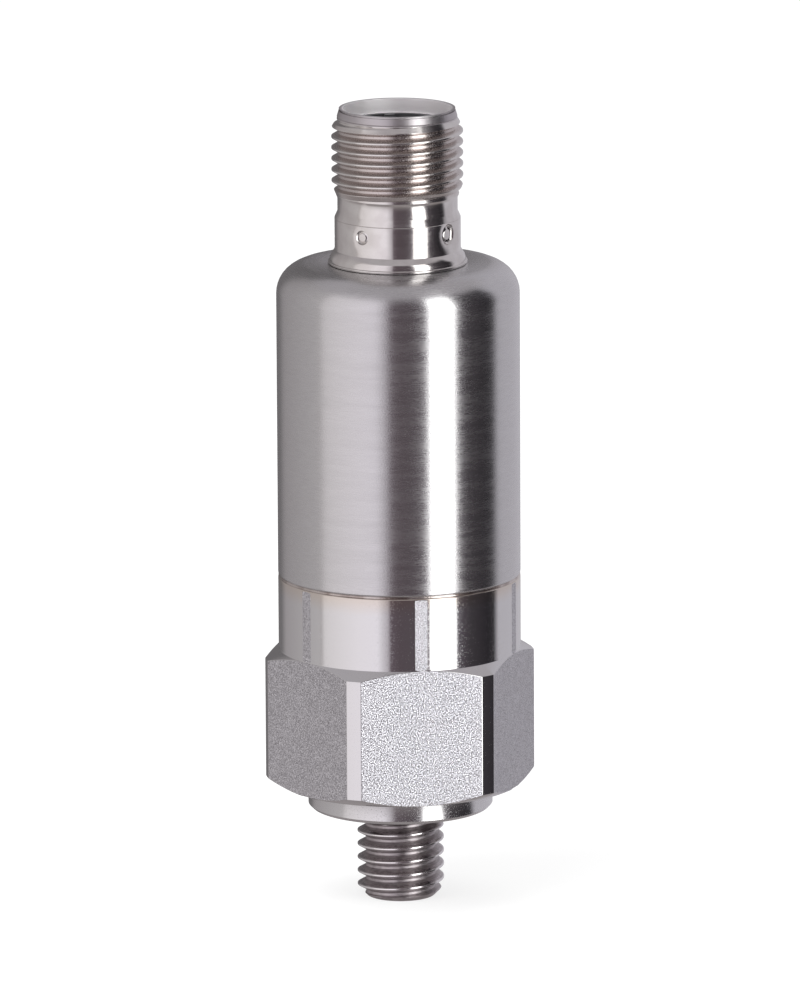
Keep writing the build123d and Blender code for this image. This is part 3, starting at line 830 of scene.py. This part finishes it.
def makeBase(turnedFinish, rawFinish):
    shape = baseShape
    boss, low = shape["boss"], shape["bossLow"]
    drop = (shape["corner"] - bodyRadius) * math.tan(math.radians(shape["slope"]))
    collarTop = seamHeight - shape["seamDrop"]
    outline = [
        (0, shape["holeDepth"]),
        (shape["hole"], shape["holeDepth"] - shape["holeCone"]),
        (shape["hole"], low + shape["mouth"] - shape["hole"]),
        (shape["mouth"], low, shape["mouthEdge"]),
        (boss - shape["bossChamfer"], low, shape["bossEdge"]),
        (boss, low + shape["bossChamfer"], shape["bossEdge"]),
        (boss, shape["hexLow"]),
        (bodyRadius, shape["hexLow"]),
        (shape["corner"], shape["hexLow"] + drop),
        (shape["corner"], shape["hexTop"] - drop),
        (bodyRadius, shape["hexTop"]),
        (bodyRadius, collarTop, shape["seamEdge"]),
        (bodyRadius - shape["seamLedge"], collarTop),
        (shape["spigot"], seamHeight),
        (shape["spigot"], baseTop, shape["spigotEdge"]),
        (shape["cavity"], baseTop, shape["spigotEdge"]),
        (shape["cavity"], shape["floor"]),
        (0, shape["floor"]),
    ]
    base = turnPiece("hexagonBase", outline)
    bpy.ops.object.mode_set(mode="EDIT")
    for side in range(6):
        outward = compass(side * 60)
        bpy.ops.mesh.select_all(action="SELECT")
        bpy.ops.mesh.bisect(
            plane_co=outward * shape["flat"] * mm, plane_no=outward,
            use_fill=True, clear_outer=True, threshold=tolerance["cutFlat"] * mm,
        )
    # the narrow strip that each flat leaves on the round collar becomes a face of its own
    bpy.ops.mesh.select_all(action="SELECT")
    bpy.ops.mesh.bisect(
        plane_co=up * (shape["hexTop"] + shape["stripGap"]) * mm, plane_no=up,
        threshold=tolerance["cutFlat"] * mm,
    )
    bpy.ops.object.mode_set(mode="OBJECT")
    base.data.materials.append(turnedFinish)
    base.data.materials.append(rawFinish)
    for face in base.data.polygons:
        face.material_index = 1 if isFlat(face) else 0
    bevel = base.modifiers.new("broken edges", "BEVEL")
    bevel.width = shape["bevel"] * mm
    bevel.segments = shape["bevelSteps"]
    bevel.limit_method = "ANGLE"
    bevel.angle_limit = math.radians(shape["bevelFrom"])
    bevel.use_clamp_overlap = False
    bevel.material = 0
    selectOnly(base)
    bpy.ops.object.modifier_apply(modifier=bevel.name)
    # the bar's flat faces keep a hard border, so that the round faces beside them shade as round
    bpy.ops.object.mode_set(mode="EDIT")
    bpy.ops.mesh.select_mode(type="FACE")
    bpy.ops.mesh.select_all(action="DESELECT")
    base.active_material_index = 1
    bpy.ops.object.material_slot_select()
    bpy.ops.mesh.region_to_loop()
    bpy.ops.mesh.mark_sharp()
    bpy.ops.object.mode_set(mode="OBJECT")
    smooth(base)
    dress(base, [turnedFinish, rawFinish], ["sensor_base"])


# Weld between base and housing: a low bead in the groove

seamShape = {"radius": 0.15, "stretch": 1.1, "sink": 0.175, "steps": 10, "shadeAngle": 60}


def makeSeam(finish):
    shape = seamShape
    radius = shape["radius"]
    centre = bodyRadius - shape["sink"]
    outline = []
    for step in range(shape["steps"]):
        angle = 2 * math.pi * step / shape["steps"]
        height = seamHeight + radius * shape["stretch"] * math.sin(angle)
        outline.append((centre + radius * math.cos(angle), height))
    seam = turnPiece("weldedSeam", outline)
    smooth(seam, shape["shadeAngle"])
    dress(seam, [finish], ["weld_seam"])


# Threads: one pitch of the section is wound up the axis, then held inside the turned blank

threadShade = 34


def level(table, height):
    # straight lines between (height, value) pairs
    if height <= table[0][0]:
        return table[0][1]
    for (low, first), (high, second) in zip(table, table[1:]):
        if height <= high:
            return first + (second - first) * (height - low) / (high - low)
    return table[-1][1]


def threadSection(thread, root):
    pitch = thread["pitch"]
    crest = thread["crest"]
    crestHalf = pitch * thread["crestShare"] / 2
    rootHalf = pitch * thread["rootShare"] / 2
    rising = roundCorners([
        (root, 0),
        (root, rootHalf, thread["rootRound"]),
        (crest, pitch / 2 - crestHalf, thread["crestRound"]),
        (crest, pitch / 2),
    ], steps=4)
    # the long straight flank is divided, so that it can follow the blank where the thread runs out
    longest = max(range(len(rising) - 1), key=lambda i: math.dist(rising[i], rising[i + 1]))
    low, high = rising[longest], rising[longest + 1]
    across, along = high[0] - low[0], high[1] - low[1]
    parts = thread["flankParts"]
    inner = [(low[0] + across * k / parts, low[1] + along * k / parts) for k in range(1, parts)]
    rising[longest + 1:longest + 1] = inner
    falling = [(radius, pitch - height) for radius, height in reversed(rising[:-1])]
    return rising + falling


def windThread(name, thread):
    root = thread["crest"] - thread["pitch"] * thread["depth"]
    section = threadSection(thread, root)
    start = (root * mm, 0, thread["start"] * mm)
    bpy.ops.object.select_all(action="DESELECT")
    bpy.ops.mesh.primitive_plane_add(size=mm, location=start)
    coil = bpy.context.object
    coil.name = name
    bpy.ops.object.transform_apply(location=True, rotation=False, scale=False)
    bpy.ops.object.mode_set(mode="EDIT")
    bpy.ops.mesh.select_mode(type="VERT")
    bpy.ops.mesh.select_all(action="SELECT")
    bpy.ops.mesh.merge(type="CENTER")
    for (radius, height), (nextRadius, nextHeight) in zip(section, section[1:]):
        move = ((nextRadius - radius) * mm, 0, (nextHeight - height) * mm)
        bpy.ops.mesh.extrude_region_move(TRANSFORM_OT_translate={"value": move})
    bpy.ops.object.mode_set(mode="OBJECT")
    screw = coil.modifiers.new("wind", "SCREW")
    screw.axis = "Z"
    screw.angle = 2 * math.pi
    screw.screw_offset = thread["pitch"] * mm
    screw.iterations = thread["turns"]
    screw.steps = thread["steps"]
    screw.render_steps = thread["steps"]
    screw.use_merge_vertices = False
    selectOnly(coil)
    bpy.ops.object.modifier_apply(modifier=screw.name)
    for vertex in coil.data.vertices:
        x, y, z = vertex.co / mm
        radius = math.hypot(x, y)
        blank = level(thread["blank"], z)
        wanted = min(blank, max(radius, blank - level(thread["cut"], z)))
        vertex.co.x *= wanted / radius
        vertex.co.y *= wanted / radius
    bpy.ops.object.mode_set(mode="EDIT")
    bpy.ops.mesh.select_all(action="SELECT")
    bpy.ops.mesh.remove_doubles(threshold=tolerance["mergeCoil"] * mm)
    for height, isTop in ((thread["lowEnd"], False), (thread["highEnd"], True)):
        bpy.ops.mesh.select_all(action="SELECT")
        bpy.ops.mesh.bisect(
            plane_co=(0, 0, height * mm), plane_no=(0, 0, 1),
            clear_outer=isTop, clear_inner=not isTop, threshold=tolerance["cutCoil"] * mm,
        )
    bpy.ops.object.mode_set(mode="OBJECT")
    return coil


def selectRing(piece, height):
    # the open edge of the piece at that height
    bpy.ops.object.mode_set(mode="OBJECT")
    mesh = piece.data
    for item in (mesh.vertices, mesh.edges, mesh.polygons):
        item.foreach_set("select", [False] * len(item))
    uses = [0] * len(mesh.edges)
    for loop in mesh.loops:
        uses[loop.edge_index] += 1
    for edge in mesh.edges:
        ends = [mesh.vertices[index].co.z / mm for index in edge.vertices]
        atHeight = max(abs(end - height) for end in ends) < near
        edge.select = uses[edge.index] == 1 and atHeight
    selectOnly(piece)
    bpy.context.tool_settings.mesh_select_mode = (False, True, False)
    bpy.ops.object.mode_set(mode="EDIT")


shellThread = {
    "pitch": 1.0, "crest": 5.95, "depth": 0.55,
    "crestShare": 0.14, "rootShare": 0.24, "crestRound": 0.04, "rootRound": 0.07,
    "flankParts": 6, "start": 54.918, "turns": 10, "steps": 144,
    "lowEnd": 56.55, "highEnd": 63.6,
    "blank": [(56.3, 5.43), (57.6, 5.95), (62.7, 5.95), (63.65, 5.40)],
    "cut": [(56.6, 0.0), (57.3, 0.45), (57.7, 0.7), (62.9, 0.7), (63.55, 0.0)],
}
shellShape = {
    "neck": 5.43, "neckTop": 56.3, "neckLow": 55.1, "neckRound": 0.12,
    "collar": 5.70, "collarTop": 54.5, "rows": 24, "rowDrop": 0.12,
    "line": 0.05, "lineDepth": 0.04, "faintLine": 52.7, "faintReach": 0.06, "faintDepth": 0.012,
    "flareTop": 1.30, "flareLead": 0.1, "flareEdge": 0.05, "flareStep": 0.04, "flareDrop": 0.02,
    "foot": 6.15, "footTop": 0.66, "footIn": 0.10, "footRise": 0.12, "footSweep": 0.5,
    "footDrop": 0.15, "footGap": 0.02, "footEdge": 0.03,
    "bead": 6.30, "beadTop": 0.26, "beadLow": 0.03, "beadRound": 0.07,
    "spigot": 5.60, "rest": 0.01,
}
rimShape = {
    "rim": 5.28, "drop": 0.09, "foot": 5.44, "footLow": 63.74, "footEdge": 0.05, "footFall": 0.08,
    "grooveFoot": 0.18, "grooveLow": 0.16, "grooveHigh": 0.05, "grooveDepth": 0.22,
    "lip": 0.02, "lipEdge": 0.03, "seat": 4.85, "seatDepth": 1.35, "seatEdge": 0.05,
    "cupBore": 4.64, "flangeBore": 5.0, "flangeTop": 54.4,
}
stakeMarks = {
    "above": 3.1,
    "dents": [
        {"turn": -45, "radius": 1.5, "depth": 0.11, "punch": 0.95},
        {"turn": 45, "radius": 2.1, "depth": 0.24, "punch": 1.3},
        {"turn": 135, "radius": 1.7, "depth": 0.16, "punch": 1.1},
        {"turn": 225, "radius": 1.6, "depth": 0.13, "punch": 1.0},
    ],
    "punch": [
        (0, -0.05), (0.36, -0.06), (0.43, -0.13), (0.55, -0.17),
        (0.64, -0.10), (0.70, 0.03), (0.95, 0.5), (0, 0.5),
    ],
    "punchSteps": 48,
    "skin": 0.35,
}


def collarOutline(low):
    # down from the thread's lower end: neck, scored line, collar, flare, foot bead, spigot
    shape = shellShape
    collar, collarTop, foot = shape["collar"], shape["collarTop"], shape["foot"]
    lowCollar = topHeight + shape["flareTop"]
    flareStart = lowCollar + shape["flareLead"]
    footTop = topHeight + shape["footTop"]
    beadTop = topHeight + shape["beadTop"]
    rest = topHeight + shape["rest"]
    outline = roundCorners([
        (level(shellThread["blank"], low), low),
        (shape["neck"], shape["neckTop"]),
        (shape["neck"], shape["neckLow"], shape["neckRound"]),
        (collar, collarTop),
    ])
    outline += [
        (collar - shape["lineDepth"], collarTop - shape["line"]),
        (collar, collarTop - 2 * shape["line"]),
    ]
    firstRow = collarTop - shape["rowDrop"]
    for row in range(shape["rows"]):
        height = firstRow + (flareStart - firstRow) * row / shape["rows"]
        isLine = abs(height - shape["faintLine"]) < shape["faintReach"]
        outline.append((collar - (shape["faintDepth"] if isLine else 0), height))
    return outline + roundCorners([
        (collar, flareStart),
        (collar, lowCollar, shape["flareEdge"]),
        (collar + shape["flareStep"], lowCollar - shape["flareDrop"]),
        (foot - shape["footIn"], footTop + shape["footRise"], shape["footSweep"]),
        (foot, footTop - shape["footDrop"]),
        (foot, beadTop + shape["footGap"], shape["footEdge"]),
        (shape["bead"], beadTop, shape["beadRound"]),
        (shape["bead"], topHeight + shape["beadLow"], shape["beadRound"]),
        (foot, rest),
        (shape["spigot"], rest),
        (shape["spigot"], shellLow.z),
    ])


def rimOutline(high):
    # up from the thread's upper end, over the rim and down inside: seat, cup bore, flange bore
    shape = rimShape
    rim, foot = shape["rim"], shape["foot"]
    rimTop = shellHigh.z - shape["drop"]
    cupEdge = shellHigh.z - shape["seatDepth"]
    return roundCorners([
        (level(shellThread["blank"], high), high),
        (foot - shape["footEdge"], shape["footLow"] - shape["footFall"]),
        (foot, shape["footLow"]),
        (rim, rimTop - shape["grooveFoot"]),
        (rim - shape["grooveDepth"], rimTop - shape["grooveLow"]),
        (rim - shape["grooveDepth"], rimTop - shape["grooveHigh"]),
        (rim - shape["lip"], rimTop - shape["lip"]),
        (rim - shape["lipEdge"], rimTop),
        (shape["seat"], rimTop, shape["seatEdge"]),
        (shape["seat"], cupEdge),
        (shape["cupBore"], cupEdge),
        (shape["cupBore"], shape["flangeTop"]),
        (shape["flangeBore"], shape["flangeTop"]),
        (shape["flangeBore"], shellLow.z),
    ])


def makeShell(finish):
    shell = windThread("connectorShell", shellThread)
    low = shellThread["lowEnd"]
    high = shellThread["highEnd"]
    selectRing(shell, low)
    pullRing(collarOutline(low))
    selectRing(shell, high)
    pullRing(rimOutline(high))
    bpy.ops.mesh.select_all(action="DESELECT")
    bpy.ops.mesh.select_non_manifold()
    bpy.ops.mesh.bridge_edge_loops()
    closeMesh()
    dentCollar(shell)
    smooth(shell, threadShade)
    dress(shell, [finish], ["connector_shell"])


def dentCollar(shell):
    height = topHeight + stakeMarks["above"]
    collar = shellShape["collar"]
    for dent in stakeMarks["dents"]:
        centre = compass(dent["turn"]) * collar + up * height
        for vertex in shell.data.vertices:
            gap = (vertex.co / mm - centre).length
            outer = math.hypot(vertex.co.x, vertex.co.y) / mm
            if gap < dent["radius"] and outer > collar - stakeMarks["skin"]:
                fall = 0.5 + 0.5 * math.cos(math.pi * gap / dent["radius"])
                share = 1 - dent["depth"] * fall / outer
                vertex.co.x *= share
                vertex.co.y *= share
    for dent in stakeMarks["dents"]:
        outward = compass(dent["turn"])
        outline = [(across * dent["punch"], along) for across, along in stakeMarks["punch"]]
        punch = turnPiece("punch", outline, steps=stakeMarks["punchSteps"])
        place = outward * (collar - dent["depth"]) + up * height
        punch.matrix_world = Matrix.Translation(place * mm) @ facing(outward)
        selectOnly(punch)
        bpy.ops.object.transform_apply(location=True, rotation=True, scale=True)
        cut = shell.modifiers.new("stake", "BOOLEAN")
        cut.object = punch
        cut.operation = "DIFFERENCE"
        cut.solver = "EXACT"
        selectOnly(shell)
        bpy.ops.object.modifier_apply(modifier=cut.name)
        bpy.data.objects.remove(punch)
    # slivers that the cuts left are closed up
    bpy.ops.object.mode_set(mode="EDIT")
    closeMesh()


studThread = {
    "pitch": 1.25, "crest": 3.95, "depth": 0.6134,
    "crestShare": 0.11, "rootShare": 0.20, "crestRound": 0.06, "rootRound": 0.10,
    "flankParts": 6, "start": -11.115, "turns": 9, "steps": 128,
    "lowEnd": -8.32, "highEnd": -1.0,
    "blank": [(-8.4, 3.10), (-7.55, 3.95), (-1.87, 3.95), (-1.1, 3.183)],
    "cut": [(-9.0, 0.0), (-8.2, 0.2), (-7.6, 0.8), (-1.9, 0.8), (-1.0, 0.4)],
}
studShape = {
    "engaged": 3.6, "topChamfer": 0.5, "endChamfer": 0.08, "endEdge": 0.05, "endInner": 1.6,
}


def makeStud(finish):
    shape = studShape
    stud = windThread("threadedStud", studThread)
    low = studThread["lowEnd"]
    high = studThread["highEnd"]
    end = level(studThread["blank"], low)
    root = level(studThread["blank"], high)
    engaged, chamfer = shape["engaged"], shape["topChamfer"]
    selectRing(stud, low)
    pullRing(roundCorners([
        (end, low),
        (end - shape["endChamfer"], studLow.z, shape["endEdge"]),
        (shape["endInner"], studLow.z),
        (0, studLow.z),
    ]))
    selectRing(stud, high)
    pullRing(roundCorners([
        (root, high),
        (root, 0),
        (engaged, engaged - root),
        (engaged, studHigh.z - chamfer),
        (engaged - chamfer, studHigh.z),
        (0, studHigh.z),
    ]))
    closeMesh()
    smooth(stud, threadShade)
    dress(stud, [finish], ["mounting_stud"])


def dressPackedNodes(finishes):
    slots = {part["node"]: part["material_slot"] for part in frame["record"]["subparts"]}
    for node, piece in frame["nodes"].items():
        finish = finishes.get(slots[node])
        if finish and not piece.hide_render:
            piece.data.materials.clear()
            piece.data.materials.append(finish)
    print("packed pieces dressed")


addCamera()
addWorld()
addLamps()
addFloor()
turnedFinish = turnedSteel()
makeHousing(brushedSteel())
makeBase(turnedFinish, rawBarSteel())
makeSeam(weldBead())
makeShell(nickelPlate())
makeStud(rolledSteel())
dressPackedNodes({
    "carrier_plastic": moulded("blackPlastic", (0.035, 0.035, 0.038), 0.42),
    "contact_gold": plated("goldPlate", (0.83, 0.62, 0.27), 0.16),
    "seal_rubber": moulded("sealRubber", (0.04, 0.04, 0.04), 0.6),
    "board_laminate": moulded("greenLaminate", (0.05, 0.24, 0.12), 0.3),
    "chip_plastic": moulded("chipBlack", (0.045, 0.045, 0.05), 0.5),
    "capacitor_plastic": moulded("ochrePlastic", (0.74, 0.50, 0.14), 0.4),
    "capacitor_ceramic": moulded("tanCeramic", (0.58, 0.45, 0.33), 0.35),
    "lid_metal": plated("lidMetal", (0.74, 0.72, 0.68), 0.25),
    "holder_plastic": moulded("naturalPlastic", (0.86, 0.84, 0.78), 0.45),
    "sleeve_film": moulded("polyesterFilm", (0.80, 0.77, 0.66), 0.25),
    "flex_film": moulded("amberFilm", (0.62, 0.33, 0.06), 0.3),
    "tinned_pin": plated("tinPlate", (0.72, 0.71, 0.69), 0.25),
    "screw_steel": plated("screwSteel", (0.66, 0.65, 0.64), 0.28),
})
